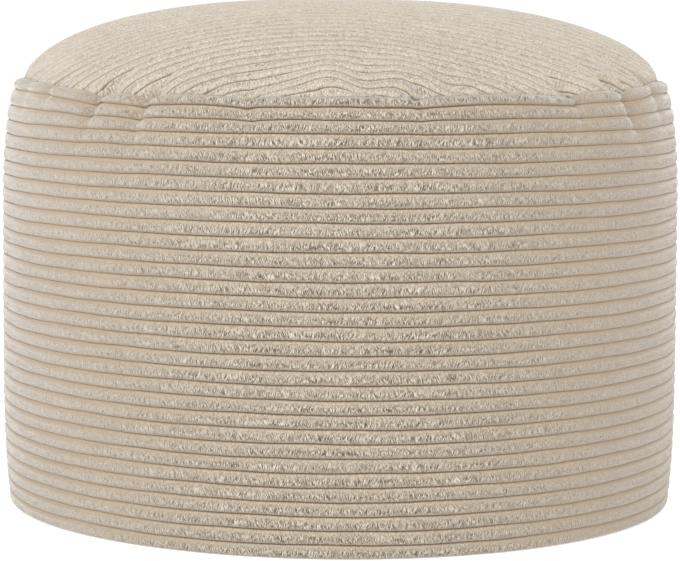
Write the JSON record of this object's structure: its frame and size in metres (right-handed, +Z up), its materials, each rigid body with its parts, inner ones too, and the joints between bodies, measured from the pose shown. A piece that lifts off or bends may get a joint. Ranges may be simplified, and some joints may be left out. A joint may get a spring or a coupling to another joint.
{
  "type": "bean bag footstool",
  "caption": "Round bean bag footstool in ribbed cord: a filled drum-shaped seat with a soft domed top and a flat base.",
  "frame": {"origin": "middle of the footprint, on the surface that the footstool stands on", "axes": "+Z up, the front towards -Y, the ribs of the top panel along X"},
  "size_m": [0.4994, 0.5018, 0.3685],
  "materials": {
    "wall_cord": "wide-rib velvet cord in warm beige, matt with a soft sheen on the pile",
    "top_cord": "wide-rib velvet cord in warm beige, matt with a soft sheen on the pile",
    "base_cloth": "plain woven beige cloth, matt"
  },
  "bodies": {
    "root": {"side_band": "wall_cord", "top_panel": "top_cord", "base_panel": "base_cloth"}
  },
  "joints": []
}
